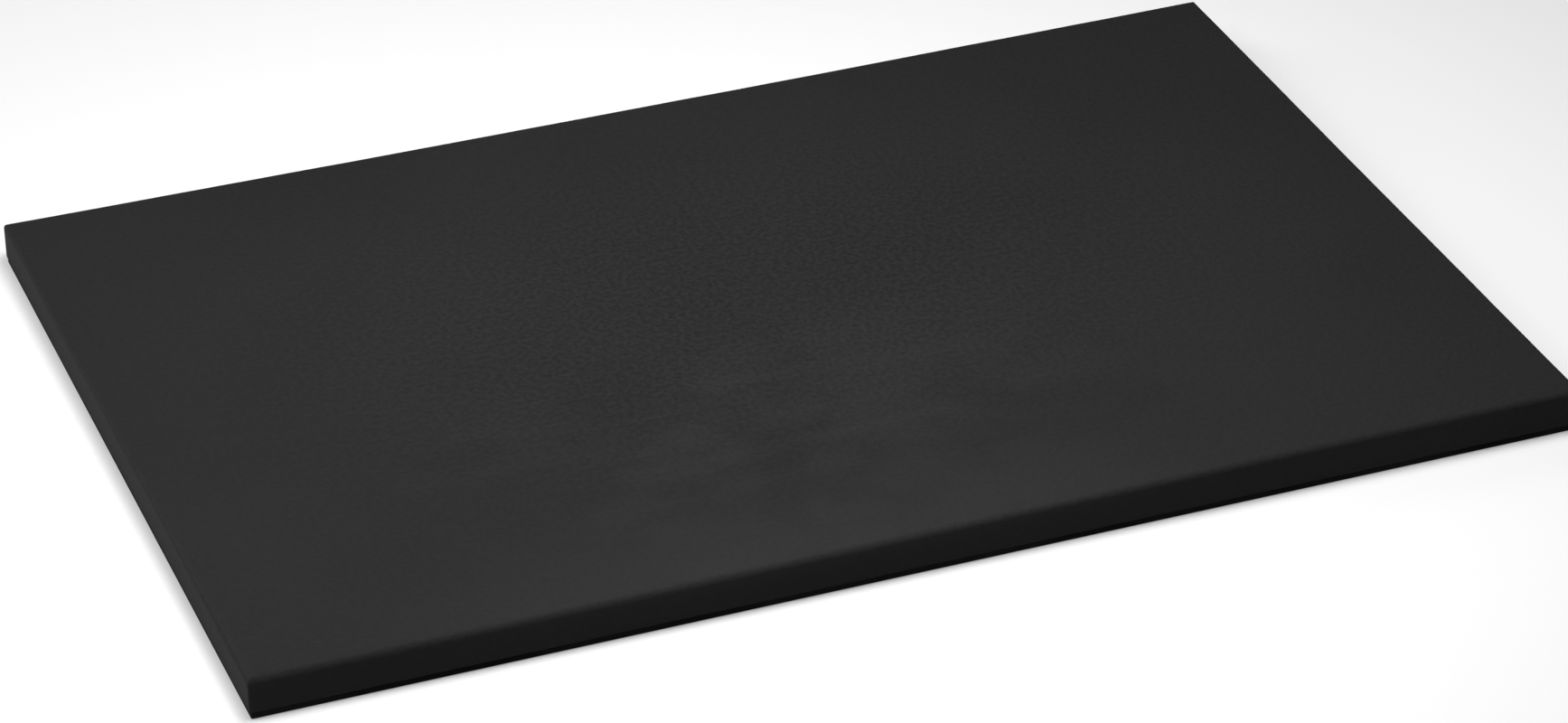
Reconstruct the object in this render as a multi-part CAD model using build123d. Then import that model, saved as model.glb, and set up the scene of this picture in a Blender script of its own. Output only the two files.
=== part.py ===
from build123d import *

import os

# A flat balance pad to stand on: two bonded foam sheets inside a moulded skin, on a grip base.
# Millimetres. +X runs along the long side and +Z is up.
# The origin is the centre of the underside, so the pad lies on the plane Z = 0.

# Overall size of the finished pad
pad_length = 600.0
pad_width = 400.0
pad_height = 20.0

# The skin over the top and the four sides
skin_thickness = 1.2
corner_radius = 1.5         # the four vertical corners
top_edge_radius = 3.0       # the roll from the top into the sides

# The sheets under the skin; the comfort foam takes the height that they leave
core_thickness = 8.0
film_thickness = 0.3        # each bonding film

# The base sheet
base_thickness = 3.0
base_inset = 0.6            # how far its edge stands in from the skin's sides
base_edge_radius = 0.6      # the lower edge, all the way round

# The grip pattern under the base: square recesses between crossed ribs, inside a plain border
grip_pitch = 20.0
rib_width = 4.0
recess_depth = 0.8
grip_border = 12.0          # the least that the border may be

# Heights of the joins between the layers, from the floor up
base_top = base_thickness
rim_bottom = base_top + film_thickness
core_top = rim_bottom + core_thickness
comfort_bottom = core_top + film_thickness
skin_underside = pad_height - skin_thickness
comfort_top = skin_underside - film_thickness


def block(length, width, corner, bottom, top):
    """A flat block between two heights, with its four vertical corners rounded."""
    outline = RectangleRounded(length, width, corner) if corner > 0 else Rectangle(length, width)
    return Pos(0, 0, bottom) * extrude(outline, top - bottom)


def rolled_block(inset, bottom, top):
    """The pad's outer form, drawn in by an inset all round, with its top edge rolled over."""
    length = pad_length - 2 * inset
    width = pad_width - 2 * inset
    body = block(length, width, corner_radius - inset, bottom, top)
    roll = top_edge_radius - inset
    if roll > 0:
        body = fillet(body.faces().sort_by(Axis.Z)[-1].edges(), roll)
    return body


def cavity():
    """The space inside the skin, which the foam sheets and their films fill."""
    return rolled_block(skin_thickness, rim_bottom, skin_underside)


def layer(bottom, top):
    """One flat layer of what fills the skin."""
    return cavity() & block(pad_length, pad_width, 0, bottom, top)


def cover_skin():
    """The moulded skin: a shallow tray turned upside down, whose rim stands on the base film."""
    return rolled_block(0, rim_bottom, pad_height) - cavity()


def base_outline(bottom, top):
    """The base's outline as a block, set in from the skin's sides."""
    length = pad_length - 2 * base_inset
    width = pad_width - 2 * base_inset
    return block(length, width, corner_radius - base_inset, bottom, top)


def recess_count(side):
    """How many recesses fit along one side: an even number, so that two ribs cross in the middle."""
    room = side - 2 * (base_inset + grip_border)
    return 2 * int(room / (2 * grip_pitch))


def grip_recesses():
    """The square recesses under the base, as one group of blocks to cut away."""
    grid = GridLocations(grip_pitch, grip_pitch, recess_count(pad_length), recess_count(pad_width))
    recess = Rectangle(grip_pitch - rib_width, grip_pitch - rib_width)
    return extrude(Sketch() + [place * recess for place in grid], recess_depth)


def base_sheet():
    """The non-slip base that the pad lies on."""
    sheet = base_outline(0, base_top)
    sheet = fillet(sheet.faces().sort_by(Axis.Z)[0].edges(), base_edge_radius)
    return sheet - grip_recesses()


pieces = {
    "cover_skin": cover_skin(),
    "cover_film": layer(comfort_top, skin_underside),
    "comfort_foam": layer(comfort_bottom, comfort_top),
    "foam_film": layer(core_top, comfort_bottom),
    "core_foam": layer(rim_bottom, core_top),
    "base_film": base_outline(base_top, rim_bottom),
    "base_sheet": base_sheet(),
}

os.makedirs("parts", exist_ok=True)
for name, piece in pieces.items():
    piece.label = name
    export_step(piece, f"parts/{name}.step")
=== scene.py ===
import math

import bpy
import numpy as np
from mathutils import Matrix, Vector, noise


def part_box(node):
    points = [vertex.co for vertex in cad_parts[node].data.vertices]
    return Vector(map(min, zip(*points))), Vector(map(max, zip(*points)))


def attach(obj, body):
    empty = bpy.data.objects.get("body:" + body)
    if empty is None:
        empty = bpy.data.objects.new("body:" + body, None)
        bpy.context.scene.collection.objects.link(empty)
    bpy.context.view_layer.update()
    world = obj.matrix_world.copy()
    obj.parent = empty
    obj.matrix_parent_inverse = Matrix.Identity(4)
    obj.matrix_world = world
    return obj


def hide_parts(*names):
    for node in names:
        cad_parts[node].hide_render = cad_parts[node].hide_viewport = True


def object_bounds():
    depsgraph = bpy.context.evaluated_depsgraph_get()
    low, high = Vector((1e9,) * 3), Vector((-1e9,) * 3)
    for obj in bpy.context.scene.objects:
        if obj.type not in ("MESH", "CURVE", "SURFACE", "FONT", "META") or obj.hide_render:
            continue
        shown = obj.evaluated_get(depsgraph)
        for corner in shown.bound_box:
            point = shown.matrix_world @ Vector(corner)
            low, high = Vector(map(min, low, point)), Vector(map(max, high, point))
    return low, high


# A flat balance pad: foam sheets in a rolled skin on a grip base. Metres, +X along the long side.

MM = 0.001

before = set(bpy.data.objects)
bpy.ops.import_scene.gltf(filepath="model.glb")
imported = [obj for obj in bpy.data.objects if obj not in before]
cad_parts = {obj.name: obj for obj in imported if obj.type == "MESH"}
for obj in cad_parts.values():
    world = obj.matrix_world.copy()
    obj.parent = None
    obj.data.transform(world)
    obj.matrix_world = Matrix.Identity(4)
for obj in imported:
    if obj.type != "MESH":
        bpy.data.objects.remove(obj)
cad_low, cad_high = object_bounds()
HALF_LENGTH = (cad_high.x - cad_low.x) / 2
HALF_WIDTH = (cad_high.y - cad_low.y) / 2
HEIGHT = cad_high.z - cad_low.z
LENGTH = 2 * HALF_LENGTH
SKIN_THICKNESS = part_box("cover_skin")[1].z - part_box("cover_film")[1].z

# How the real pad has settled: its far edges are drawn in and a little thinner midway along.
BACK_DRAWN_IN = 1.0 * MM
BACK_SAG = 0.6 * MM
RIGHT_DRAWN_IN = 0.3 * MM
RIGHT_SAG = 0.15 * MM
EDGE_REACH = 5                  # how quickly both fade inwards: the power of the share of the way out

# The skin's rounded edges
CORNER_RADIUS = 1.5 * MM
ROLL_BACK = 1.6 * MM            # the roll from the top into the back, and into the front at each end
ROLL_FRONT_LEFT = 4.2 * MM
ROLL_FRONT_RIGHT = 2.6 * MM
RIM_RADIUS = 0.4 * MM

# The other pieces' rounded edges
CUT_EDGE = 0.35 * MM            # a foam sheet's cut edges
BASE_LOWER_EDGE = 0.6 * MM
BASE_UPPER_EDGE = 0.3 * MM
WALL_RUN = 0.7 * MM             # how far a recess's wall slopes in, from rib to ceiling

# How uneven the surfaces are: the height of each wave, and its length in metres
SKIN_WAVES = [(0.16 * MM, 0.11), (0.05 * MM, 0.024), (0.012 * MM, 0.008)]
FOAM_WAVES = [(0.2 * MM, 0.03), (0.08 * MM, 0.006)]

# The soft boxes: place in pad lengths, side in metres, power in watts
LIGHTS = {
    "overhead": ((-0.17, -0.2, 1.33), 0.4, 11.6),
    "left_high": ((-3.17, 0.17, 3.67), 1.4, 32.0),
    "back_left_low": ((-3.33, 3.33, 1.67), 1.4, 46.0),
}
WORLD_STRENGTH = 0.06

# The camera, in degrees, and distances in pad lengths
VIEW_YAW = 20.77                # how far it looks to the right of straight back
VIEW_PITCH = 30.82              # how far it looks down
VIEW_ROLL = -0.58
VIEW_DISTANCE = 4.0591
AIM_RIGHT = 0.0102              # where it aims, from the middle of the underside
AIM_UP = -0.0136
LENS = 124.93                   # millimetres, on a sensor 36 mm wide


# ---------------------------------------------------------------- meshes

def grid_lines(low, high, pitch, near_ends):
    """Lines from low to high: at the given distances from both ends, and evenly spaced between."""
    first = [low + step for step in near_ends]
    last = [high - step for step in reversed(near_ends)]
    gap = last[0] - first[-1]
    count = max(1, round(gap / pitch))
    middle = [first[-1] + gap * step / count for step in range(1, count)]
    return first + middle + last


def block_surface(xs, ys, zs, closed_below=True):
    """The surface of a block as quads on a lattice, sharing the points on its edges."""
    nx, ny, nz = len(xs) - 1, len(ys) - 1, len(zs) - 1
    index, points, quads = {}, [], []

    def point(key):
        if key not in index:
            index[key] = len(points)
            points.append((xs[key[0]], ys[key[1]], zs[key[2]]))
        return index[key]

    def side(across, up, place, turned):
        for a in range(across):
            for b in range(up):
                ring = [place(a, b), place(a + 1, b), place(a + 1, b + 1), place(a, b + 1)]
                quad = [point(key) for key in ring]
                quads.append(quad[::-1] if turned else quad)

    side(nx, ny, lambda a, b: (a, b, nz), False)
    if closed_below:
        side(nx, ny, lambda a, b: (a, b, 0), True)
    side(nx, nz, lambda a, b: (a, 0, b), False)
    side(nx, nz, lambda a, b: (a, ny, b), True)
    side(ny, nz, lambda a, b: (0, a, b), True)
    side(ny, nz, lambda a, b: (nx, a, b), False)
    return np.array(points), quads


def onto_arc(inset, depth, radius):
    """Moves points near a square edge onto its rounded form, by their distances from the two faces."""
    near = (inset < radius) & (depth < radius)
    away = np.hypot(inset - radius, depth - radius)
    scale = np.where(near, radius / np.maximum(away, 1e-9), 1.0)
    moved_inset = np.where(near, radius + (inset - radius) * scale, inset)
    moved_depth = np.where(near, radius + (depth - radius) * scale, depth)
    return moved_inset, moved_depth


def round_edges(points, low, high, upper, lower, corner):
    """Rounds a block's upper and lower edges, by one radius or one for each point, and its corners."""
    centre = (np.array(low) + np.array(high)) / 2
    half = (np.array(high) - np.array(low)) / 2
    flat = points[:, :2] - centre[:2]
    inset = np.minimum(half[0] - abs(flat[:, 0]), half[1] - abs(flat[:, 1]))
    before = inset
    inset, below = onto_arc(inset, high[2] - points[:, 2], upper)
    inset, above = onto_arc(inset, high[2] - below - low[2], lower)
    ring = half[:2] - inset[:, None]
    flat = flat * ring / np.maximum(half[:2] - before[:, None], 1e-9)
    # The vertical corners: rounder at the outline, and square where the flat top begins.
    bend = corner * np.clip(1 - inset / np.maximum(upper, corner), 0, 1)
    over = abs(flat) - (ring - bend[:, None])
    in_corner = (over > 0).all(axis=1) & (bend > 0)
    reach = np.maximum(np.hypot(over[:, 0], over[:, 1]), 1e-9)
    rounded = ring - bend[:, None] + over * (bend / reach)[:, None]
    flat = np.where(in_corner[:, None], np.sign(flat) * rounded, flat)
    return np.column_stack([flat + centre[:2], low[2] + above])


def settle(points):
    """Draws the pad's far edges in and down a little. Every layer follows it, so they stay together."""
    u = points[:, 0] / HALF_LENGTH
    v = points[:, 1] / HALF_WIDTH
    back = (1 - u ** 2) * np.clip(v, 0, 1) ** EDGE_REACH
    right = (1 - v ** 2) * np.clip(u, 0, 1) ** EDGE_REACH
    settled = points.copy()
    settled[:, 0] -= RIGHT_DRAWN_IN * right
    settled[:, 1] -= BACK_DRAWN_IN * back
    settled[:, 2] *= 1 - (BACK_SAG * back + RIGHT_SAG * right) / HEIGHT
    return settled


def wander(points, waves):
    """A smooth uneven height at each point: the sum of waves, each a size and a length in metres."""
    heights = np.zeros(len(points))
    for number, (size, length) in enumerate(waves):
        shift = Vector((3.7, 1.3, 2.9)) * number
        values = [noise.noise(Vector(place) / length + shift) for place in points]
        heights += size * np.array(values)
    return heights


def make_object(name, points, quads):
    """A mesh object with smooth faces and sharp edges where it turns quickly."""
    mesh = bpy.data.meshes.new(name)
    mesh.from_pydata([tuple(place) for place in points], [], quads)
    mesh.validate()
    mesh.shade_smooth()
    mesh.set_sharp_from_angle(angle=math.radians(40))
    made = bpy.data.objects.new(name, mesh)
    bpy.context.scene.collection.objects.link(made)
    return made


def uneven(points, quads, waves):
    """Pushes each point out along the surface by the waves."""
    mesh = bpy.data.meshes.new("scratch")
    mesh.from_pydata([tuple(place) for place in points], [], quads)
    normals = np.array([vertex.normal for vertex in mesh.vertices])
    bpy.data.meshes.remove(mesh)
    return points + normals * wander(points, waves)[:, None]


def pad_piece(piece, node):
    """Ties a finished piece to the frame: it rides on the pad and stands for its CAD node."""
    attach(piece, "root")
    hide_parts(node)


# ---------------------------------------------------------------- pieces

def roll_radius(points):
    """The radius of the skin's top edge: widest at the front left, and tighter at the back."""
    u = np.clip(points[:, 0] / HALF_LENGTH, -1, 1)
    v = np.clip(points[:, 1] / HALF_WIDTH, -1, 1)
    front = ROLL_FRONT_LEFT + (ROLL_FRONT_RIGHT - ROLL_FRONT_LEFT) * (u + 1) / 2
    toward_front = np.clip((1 - v) / 2, 0, 1) ** 3
    return ROLL_BACK + (front - ROLL_BACK) * toward_front


def make_skin():
    """The skin over the top and sides: one sheet with rolled edges, given its real thickness."""
    low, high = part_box("cover_skin")
    pitch = 3.2 * MM
    side_pitch = 1.5 * MM
    ends = [step * MM for step in (0, 0.3, 0.65, 1.05, 1.5, 2.0, 2.6, 3.3, 4.2, 5.4)]
    xs = grid_lines(low.x, high.x, pitch, ends)
    ys = grid_lines(low.y, high.y, pitch, ends)
    zs = grid_lines(low.z, high.z, side_pitch, ends[:8])
    points, quads = block_surface(xs, ys, zs, closed_below=False)
    points = round_edges(points, low, high, roll_radius(points), RIM_RADIUS, CORNER_RADIUS)
    points = uneven(points, quads, SKIN_WAVES)
    points[:, 2] = np.minimum(points[:, 2], high.z)
    skin = make_object("cover_skin_shell", settle(points), quads)
    shell = skin.modifiers.new("thickness", "SOLIDIFY")
    shell.thickness = SKIN_THICKNESS
    shell.offset = -1
    shell.use_even_offset = True
    return skin


def make_layer(name, node, pitch, waves=None, rolled=False):
    """A flat sheet inside the pad, with softened edges. A rolled one follows the skin's top edge."""
    low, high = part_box(node)
    edge = min(CUT_EDGE, 0.4 * (high.z - low.z))
    cut = [0, edge / 3, edge]
    roll = [step * MM for step in (0.8, 1.4, 2.1, 3.0, 4.2)] if rolled else []
    xs = grid_lines(low.x, high.x, pitch, cut + roll)
    ys = grid_lines(low.y, high.y, pitch, cut + roll)
    zs = [low.z + step for step in cut] + [high.z - step for step in reversed(cut + roll)]
    points, quads = block_surface(xs, ys, zs)
    upper = roll_radius(points) - SKIN_THICKNESS if rolled else edge
    points = round_edges(points, low, high, upper, edge, CORNER_RADIUS - SKIN_THICKNESS)
    if waves:
        out = np.maximum(abs(points[:, 0]) - HALF_LENGTH, abs(points[:, 1]) - HALF_WIDTH)
        side_band = 3 * MM
        at_side = out > -side_band
        moved = uneven(points, quads, waves)
        points[:, :2] = np.where(at_side[:, None], moved[:, :2], points[:, :2])
    return make_object(name, settle(points), quads)


def recess_edges():
    """Where the base's recesses begin and end along X and Y, and their depth, from the CAD node."""
    low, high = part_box("base_sheet")
    border = 5 * MM
    level = 0.1 * MM
    spots = [vertex.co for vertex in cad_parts["base_sheet"].data.vertices]
    ceiling = [
        spot for spot in spots
        if abs(spot.x) < high.x - border and abs(spot.y) < high.y - border
        and low.z + level < spot.z < high.z - level
    ]
    xs = sorted({round(spot.x, 5) for spot in ceiling})
    ys = sorted({round(spot.y, 5) for spot in ceiling})
    return xs, ys, min(spot.z for spot in ceiling) - low.z


def recess_lines(low, high, ends, edges):
    """Grid lines for the base: round its own edge, and four down each wall of every recess."""
    wall = [0, 0.28 * WALL_RUN, 0.72 * WALL_RUN, WALL_RUN]
    lines = [low + step for step in ends] + [high - step for step in ends]
    for start, end in zip(edges[0::2], edges[1::2]):
        lines += [start + step for step in wall] + [end - step for step in wall]
    return sorted(lines)


def pocket(values, edges):
    """How far into a recess each value lies: 0 on a rib and 1 inside, with rounded walls between."""
    depth = np.zeros(len(values))
    for start, end in zip(edges[0::2], edges[1::2]):
        inward = np.clip(np.minimum(values - start, end - values) / WALL_RUN, 0, 1)
        depth = np.maximum(depth, inward * inward * (3 - 2 * inward))
    return depth


def make_base():
    """The grip base: a moulded sheet with a rounded lower edge and square recesses between ribs."""
    low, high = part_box("base_sheet")
    edges_x, edges_y, depth = recess_edges()
    ends = [step * MM for step in (0, 0.15, 0.35, 0.65, 1.0, 1.6)]
    xs = recess_lines(low.x, high.x, ends, edges_x)
    ys = recess_lines(low.y, high.y, ends, edges_y)
    zs = [low.z + step for step in ends] + [high.z - step * MM for step in (0.7, 0.3, 0.15, 0)]
    points, quads = block_surface(xs, ys, zs)
    under = points[:, 2] == zs[0]
    lift = depth * pocket(points[:, 0], edges_x) * pocket(points[:, 1], edges_y) * under
    corner = CORNER_RADIUS - (HALF_LENGTH - high.x)
    points = round_edges(points, low, high, BASE_UPPER_EDGE, BASE_LOWER_EDGE, corner)
    points[:, 2] += lift
    return make_object("base_sheet_tread", settle(points), quads)


# ---------------------------------------------------------------- materials

def blank_material(name, roughness, specular):
    """A material with its shader, and the coordinates that its patterns are read at."""
    material = bpy.data.materials.new(name)
    material.use_nodes = True
    nodes = material.node_tree.nodes
    shader = nodes["Principled BSDF"]
    shader.inputs["Roughness"].default_value = roughness
    shader.inputs["Specular IOR Level"].default_value = specular
    place = nodes.new("ShaderNodeTexCoord")
    return material, shader, place.outputs["Object"]


def stretched(material, place, scale):
    """The coordinates stretched by a scale along each axis."""
    node = material.node_tree.nodes.new("ShaderNodeMapping")
    node.inputs["Scale"].default_value = scale
    material.node_tree.links.new(place, node.inputs["Vector"])
    return node.outputs["Vector"]


def cloudy(material, place, scale, detail=2.0, rough=0.5):
    """Soft cloudy noise, with a number of features per metre."""
    node = material.node_tree.nodes.new("ShaderNodeTexNoise")
    node.inputs["Scale"].default_value = scale
    node.inputs["Detail"].default_value = detail
    node.inputs["Roughness"].default_value = rough
    material.node_tree.links.new(place, node.inputs["Vector"])
    return node.outputs["Fac"]


def cells(material, place, scale, feature="F1"):
    """Rounded cells, by the distance from each one's middle or from its edge."""
    node = material.node_tree.nodes.new("ShaderNodeTexVoronoi")
    node.feature = feature
    node.inputs["Scale"].default_value = scale
    material.node_tree.links.new(place, node.inputs["Vector"])
    return node.outputs


def spread(material, value, low, high, to_low=0.0, to_high=1.0):
    """Maps a value from one range to another, and holds it there."""
    node = material.node_tree.nodes.new("ShaderNodeMapRange")
    node.interpolation_type = "SMOOTHSTEP"
    node.inputs["From Min"].default_value = low
    node.inputs["From Max"].default_value = high
    node.inputs["To Min"].default_value = to_low
    node.inputs["To Max"].default_value = to_high
    material.node_tree.links.new(value, node.inputs["Value"])
    return node.outputs["Result"]


def combined(material, kind, first, second):
    """Adds or multiplies two values. The second may be a plain number."""
    node = material.node_tree.nodes.new("ShaderNodeMath")
    node.operation = kind
    material.node_tree.links.new(first, node.inputs[0])
    if isinstance(second, float):
        node.inputs[1].default_value = second
    else:
        material.node_tree.links.new(second, node.inputs[1])
    return node.outputs[0]


def patch(material, place, centre, reach):
    """A soft oval patch on the top: 1 at its centre, fading to 0 at its reach and down the sides.
    Its centre and reach are in metres along X and Y."""
    moved = material.node_tree.nodes.new("ShaderNodeMapping")
    moved.vector_type = "TEXTURE"
    moved.inputs["Location"].default_value = (*centre, HEIGHT)
    moved.inputs["Scale"].default_value = (*reach, HEIGHT / 2)
    material.node_tree.links.new(place, moved.inputs["Vector"])
    fade = material.node_tree.nodes.new("ShaderNodeTexGradient")
    fade.gradient_type = "SPHERICAL"
    material.node_tree.links.new(moved.outputs["Vector"], fade.inputs["Vector"])
    return spread(material, fade.outputs["Fac"], 0.0, 1.0)


def two_tones(material, share, dark, light):
    """A colour between a dark and a light tone, by a share from 0 to 1."""
    node = material.node_tree.nodes.new("ShaderNodeMix")
    node.data_type = "RGBA"
    node.inputs["A"].default_value = (*dark, 1)
    node.inputs["B"].default_value = (*light, 1)
    material.node_tree.links.new(share, node.inputs["Factor"])
    return node.outputs["Result"]


def bumped(material, shader, height, depth, under=None):
    """Presses a height pattern into the surface, over another one if it is given."""
    node = material.node_tree.nodes.new("ShaderNodeBump")
    node.inputs["Strength"].default_value = 1.0
    node.inputs["Distance"].default_value = depth
    material.node_tree.links.new(height, node.inputs["Height"])
    if under is not None:
        material.node_tree.links.new(under, node.inputs["Normal"])
    material.node_tree.links.new(node.outputs["Normal"], shader.inputs["Normal"])
    return node.outputs["Normal"]


def skin_material():
    """Matte black foam skin: a fine mottled grain, faint long streaks, and rare specks of dust.
    The grain shows most in the middle. Toward the front the skin is blotched by handling, and
    paler along its front edge, where a sheen is painted into its colour."""
    material, shader, place = blank_material("skin_black_matte", 0.6, 0.02)
    link = material.node_tree.links.new
    clouds = spread(material, cloudy(material, place, 7.0), 0.3, 0.7, -0.5, 0.5)
    mottle = spread(material, cloudy(material, place, 400.0, 2.0), 0.32, 0.68, -0.5, 0.5)
    middle = patch(material, place, (-0.01, 0.01), (0.36, 0.22))
    grain = combined(material, "MULTIPLY", mottle, spread(material, middle, 0.0, 1.0, 0.2, 0.6))
    along = stretched(material, place, (7.0, 60.0, 10.0))
    streaks = spread(material, cloudy(material, along, 1.0, 4.0, 0.6), 0.42, 0.72)
    stroked = patch(material, place, (-0.06, -0.09), (0.22, 0.09))
    marks = combined(material, "MULTIPLY", streaks, stroked)
    # Painted sheen: a pale patch along the front of the top and over its roll, standing in for the
    # light that glances off there.
    painted_front_sheen = patch(material, place, (-0.05, -0.21), (0.26, 0.09))
    blotches = spread(material, cloudy(material, place, 32.0, 3.0), 0.35, 0.65, -0.5, 0.5)
    handled = patch(material, place, (-0.02, -0.11), (0.27, 0.15))
    blotched = combined(material, "MULTIPLY", blotches, handled)
    tone = combined(material, "ADD", grain, 0.36)
    for pattern, weight in ((clouds, 0.15), (marks, 0.38), (painted_front_sheen, 0.5), (blotched, 0.28)):
        tone = combined(material, "ADD", tone, combined(material, "MULTIPLY", pattern, weight))
    specks = cells(material, place, 22.0)
    speck = spread(material, specks["Distance"], 0.012, 0.02, 1.0, 0.0)
    chosen = spread(material, specks["Color"], 0.72, 0.74)
    tone = combined(material, "ADD", tone, combined(material, "MULTIPLY", speck, chosen))
    tones = two_tones(material, tone, (0.0112, 0.0112, 0.0114), (0.0188, 0.0188, 0.0189))
    link(tones, shader.inputs["Base Color"])
    link(spread(material, marks, 0.0, 1.0, 0.62, 0.5), shader.inputs["Roughness"])
    pores = cells(material, place, 1100.0)["Distance"]
    low = bumped(material, shader, mottle, 0.08 * MM)
    bumped(material, shader, pores, 0.06 * MM, low)
    return material


def rubber_material():
    """The base's foamed rubber: finely pitted, a little dusty, and darker, partly as painted shade
    along the pad's foot.
    """
    material, shader, place = blank_material("base_foamed_rubber", 0.85, 0.02)
    link = material.node_tree.links.new
    clouds = spread(material, cloudy(material, place, 18.0, 4.0), 0.3, 0.7)
    pits = cells(material, place, 700.0)["Distance"]
    # Partly painted shade: the tones are set near black so that the pad's foot reads dark, as contact
    # shade would make it.
    tones = two_tones(material, clouds, (0.005, 0.005, 0.005), (0.010, 0.010, 0.0098))
    link(tones, shader.inputs["Base Color"])
    link(spread(material, pits, 0.0, 0.8, 0.92, 0.7), shader.inputs["Roughness"])
    bumped(material, shader, pits, 0.12 * MM)
    return material


def foam_material(name, cell_scale, dark, light):
    """Cut closed-cell foam: a honeycomb of tiny open bubbles with thin lighter walls."""
    material, shader, place = blank_material(name, 0.9, 0.2)
    link = material.node_tree.links.new
    walls = cells(material, place, cell_scale, "DISTANCE_TO_EDGE")["Distance"]
    bubbles = spread(material, walls, 0.0, 0.25)
    clouds = cloudy(material, place, 40.0)
    tone = combined(material, "MULTIPLY", bubbles, clouds)
    tones = two_tones(material, tone, light, dark)
    link(tones, shader.inputs["Base Color"])
    link(spread(material, clouds, 0.3, 0.7, 0.85, 0.98), shader.inputs["Roughness"])
    bumped(material, shader, walls, 0.3 * MM)
    return material


def film_material():
    """Black hot-melt film: a satin web with a faint pattern of its coating."""
    material, shader, place = blank_material("bond_film_black", 0.45, 0.1)
    link = material.node_tree.links.new
    web = cells(material, place, 500.0)["Distance"]
    clouds = cloudy(material, place, 60.0)
    tones = two_tones(material, clouds, (0.010, 0.010, 0.010), (0.02, 0.02, 0.02))
    link(tones, shader.inputs["Base Color"])
    link(spread(material, clouds, 0.3, 0.7, 0.35, 0.6), shader.inputs["Roughness"])
    bumped(material, shader, web, 0.02 * MM)
    return material


def floor_material():
    """The plain pale floor. It glows a little, so it stays pale away from the lights."""
    material, shader, _ = blank_material("floor_pale", 0.9, 0.1)
    shader.inputs["Base Color"].default_value = (0.42, 0.42, 0.42, 1)
    shader.inputs["Emission Color"].default_value = (1, 1, 1, 1)
    shader.inputs["Emission Strength"].default_value = 0.3
    return material


def finish_with(piece, material):
    """Gives a piece its one material."""
    piece.data.materials.clear()
    piece.data.materials.append(material)


# ---------------------------------------------------------------- stage, lights and camera

def make_floor():
    """A wide pale floor under the pad."""
    reach = 40 * LENGTH
    corners = [(-reach, -reach, 0), (reach, -reach, 0), (reach, reach, 0), (-reach, reach, 0)]
    mesh = bpy.data.meshes.new("floor")
    mesh.from_pydata(corners, [], [(0, 1, 2, 3)])
    floor = bpy.data.objects.new("floor", mesh)
    floor.location.z = cad_low.z - 0.05 * MM
    bpy.context.scene.collection.objects.link(floor)
    finish_with(floor, floor_material())


def make_light(name, place, size, power):
    """A square soft box that faces the pad's middle."""
    lamp = bpy.data.lights.new(name, "AREA")
    lamp.shape = "SQUARE"
    lamp.size = size
    lamp.energy = power
    light = bpy.data.objects.new(name, lamp)
    light.location = Vector(place) * LENGTH
    light.rotation_mode = "QUATERNION"
    light.rotation_quaternion = (-light.location).to_track_quat("-Z", "Y")
    bpy.context.scene.collection.objects.link(light)


def make_world():
    """A faint even light from all round."""
    world = bpy.data.worlds.new("studio")
    world.use_nodes = True
    background = world.node_tree.nodes["Background"]
    background.inputs["Color"].default_value = (1, 1, 1, 1)
    background.inputs["Strength"].default_value = WORLD_STRENGTH
    bpy.context.scene.world = world


def make_camera():
    """The camera, turned by the view's angles and set back from where it aims."""
    yaw, pitch, roll = (math.radians(angle) for angle in (VIEW_YAW, VIEW_PITCH, VIEW_ROLL))
    ahead = Vector((math.sin(yaw) * math.cos(pitch), math.cos(yaw) * math.cos(pitch), -math.sin(pitch)))
    level = Vector((math.cos(yaw), -math.sin(yaw), 0))
    up = level.cross(ahead)
    right = level * math.cos(roll) + up * math.sin(roll)
    top = up * math.cos(roll) - level * math.sin(roll)
    data = bpy.data.cameras.new("camera")
    data.lens = LENS
    data.sensor_width = 36
    data.clip_end = 100
    camera = bpy.data.objects.new("camera", data)
    aim = (right * AIM_RIGHT + top * AIM_UP) * LENGTH
    place = aim - ahead * VIEW_DISTANCE * LENGTH
    turn = Matrix((right, top, -ahead)).transposed()
    camera.matrix_world = Matrix.Translation(place) @ turn.to_4x4()
    bpy.context.scene.collection.objects.link(camera)
    bpy.context.scene.camera = camera


# ---------------------------------------------------------------- the pad

skin = make_skin()
finish_with(skin, skin_material())
pad_piece(skin, "cover_skin")

base = make_base()
finish_with(base, rubber_material())
pad_piece(base, "base_sheet")

soft_foam = foam_material("soft_foam_charcoal", 900.0, (0.03, 0.03, 0.032), (0.11, 0.11, 0.115))
firm_foam = foam_material("firm_foam_dark", 1400.0, (0.02, 0.02, 0.021), (0.07, 0.07, 0.072))
for node, slot, foam, rolled in (
    ("comfort_foam", "soft_foam", soft_foam, True),
    ("core_foam", "firm_foam", firm_foam, False),
):
    layer = make_layer(node + "_sheet", node, 8 * MM, FOAM_WAVES, rolled)
    finish_with(layer, foam)
    pad_piece(layer, node)

film = film_material()
for node in ("cover_film", "foam_film", "base_film"):
    layer = make_layer(node + "_web", node, 12 * MM)
    finish_with(layer, film)
    pad_piece(layer, node)

make_floor()
make_world()
for name, (place, size, power) in LIGHTS.items():
    make_light(name, place, size, power)
make_camera()
bpy.context.scene.view_settings.view_transform = "Standard"
